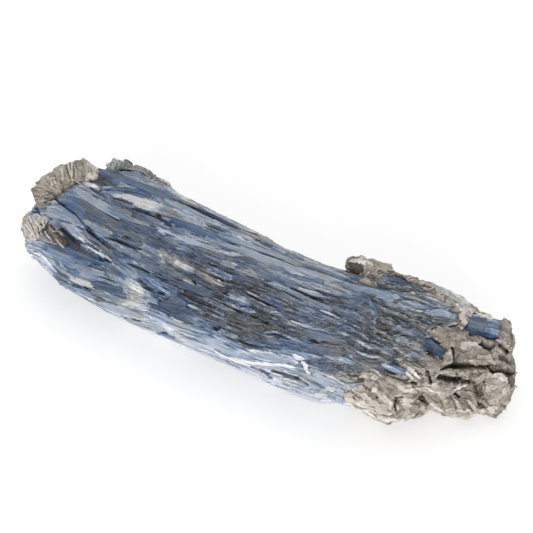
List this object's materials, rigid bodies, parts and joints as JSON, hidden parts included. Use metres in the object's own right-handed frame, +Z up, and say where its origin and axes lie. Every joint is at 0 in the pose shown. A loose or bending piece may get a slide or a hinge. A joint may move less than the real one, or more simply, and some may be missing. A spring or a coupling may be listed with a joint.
{
  "type": "kyanite blade cluster",
  "caption": "Mineral specimen: a curved bundle of long blue kyanite blades with mica books and a rough mica schist end, lying on its flat underside.",
  "frame": {"origin": "middle of the whole specimen's box in X and Y, on the surface that it rests on", "axes": "+X along the blades towards the schist end, +Z up from the flat cleaved underside"},
  "size_m": [0.1876, 0.0608, 0.0354],
  "materials": {
    "kyanite_blades": "pearly cleavage, streaked navy to pale blue",
    "kyanite_stub": "glassy blue cleavage",
    "kyanite_dark": "glassy dark blue cleavage",
    "kyanite_bright": "glassy bright blue cleavage",
    "mica_schist": "rough flaky mica, pearly grey-beige",
    "mica_book": "ribbed mica sheets, satin grey-beige",
    "mica_fan": "radial mica sheets, satin pale grey",
    "mica_crust": "grey-green flaky mica crust",
    "mica_brown": "brown stained mica with pearly edges"
  },
  "bodies": {
    "root": {"kyanite_bundle": "kyanite_blades", "kyanite_stub_right": "kyanite_stub", "kyanite_crystal_dark": "kyanite_dark", "kyanite_crystal_bright": "kyanite_bright", "mica_schist_end": "mica_schist", "mica_book_top_left": "mica_book", "mica_fan_left_end": "mica_fan", "mica_crust_back_left": "mica_crust", "mica_block_back_right": "mica_brown"}
  },
  "joints": []
}
